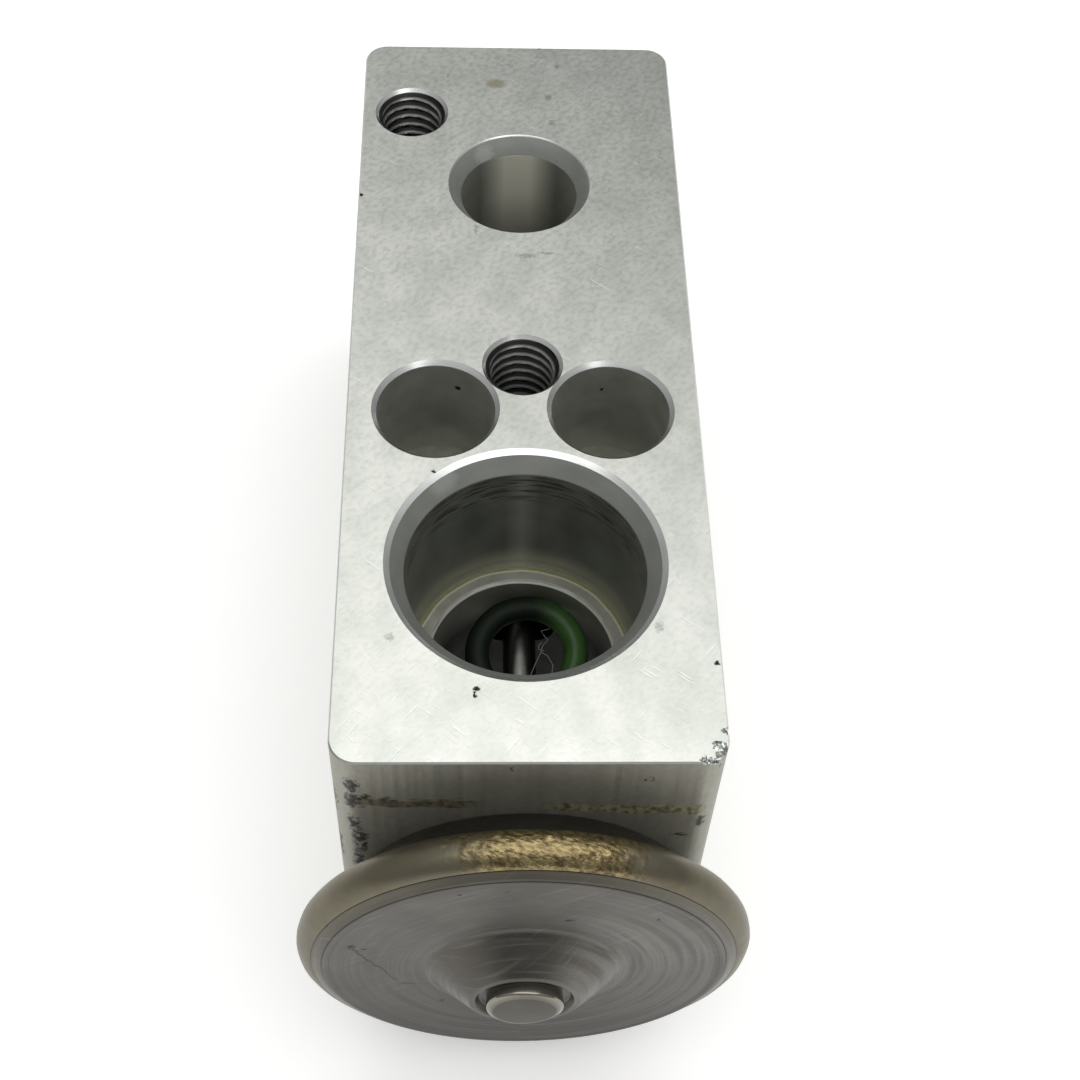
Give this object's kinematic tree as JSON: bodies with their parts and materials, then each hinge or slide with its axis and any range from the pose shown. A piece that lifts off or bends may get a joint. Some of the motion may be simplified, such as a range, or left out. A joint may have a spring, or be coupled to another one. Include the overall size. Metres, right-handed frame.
{
  "type": "thermostatic expansion valve",
  "caption": "Block-type refrigerant expansion valve: drilled aluminium block with pipe ports, screwed to a welded round diaphragm head that drives a rod and ball.",
  "frame": {"origin": "middle of the block's evaporator face, which the valve lies on", "axes": "+Z out of the hose face, +Y along the block away from the round head, +X across the block"},
  "size_m": [0.0344, 0.086, 0.04],
  "materials": {
    "aluminium_block": "milled faces, extruded sides",
    "head_steel": "pressed, scuffed",
    "rim_weld": "weld, heat tinted",
    "charge_plug": "satin",
    "stainless_steel": "bright",
    "brass": "turned",
    "black_plastic": "matte",
    "seal_rubber": "smooth green"
  },
  "bodies": {
    "block": {"valve_body": "aluminium_block", "head_base": "head_steel", "head_cap": "head_steel", "rim_weld": "rim_weld", "diaphragm": "stainless_steel", "charge_plug": "charge_plug", "head_seal": "seal_rubber", "rod_bush": "black_plastic", "rod_seal": "seal_rubber", "spigot_seal": "seal_rubber", "superheat_spring": "stainless_steel"},
    "valve_train": {"pressure_plate": "brass", "push_rod": "stainless_steel", "valve_ball": "stainless_steel", "ball_carrier": "stainless_steel", "damping_clip": "stainless_steel"},
    "adjuster_carriage": {"adjuster_seal": "seal_rubber"},
    "adjuster": {"adjusting_screw": "brass"}
  },
  "joints": [
    {"name": "valve_stroke", "type": "slide", "parent": "block", "child": "valve_train", "axis": [0, 1, 0], "range_m": [-0.00055, 0], "stiffness_N_per_m": 2000, "springref_m": 0.003, "deforming": ["superheat_spring", "diaphragm"]},
    {"name": "adjuster_advance", "type": "slide", "parent": "block", "child": "adjuster_carriage", "axis": [0, 1, 0], "range_m": [-0.001, 0.001]},
    {"name": "adjuster_turn", "type": "hinge", "parent": "adjuster_carriage", "child": "adjuster", "pos_m": [0, 0.0365, 0.02], "axis": [0, 1, 0], "range_deg": [-360, 360]}
  ],
  "couplings": [
    {"joint": "adjuster_advance", "follows": "adjuster_turn", "m_per_rad": -0.00015915}
  ]
}
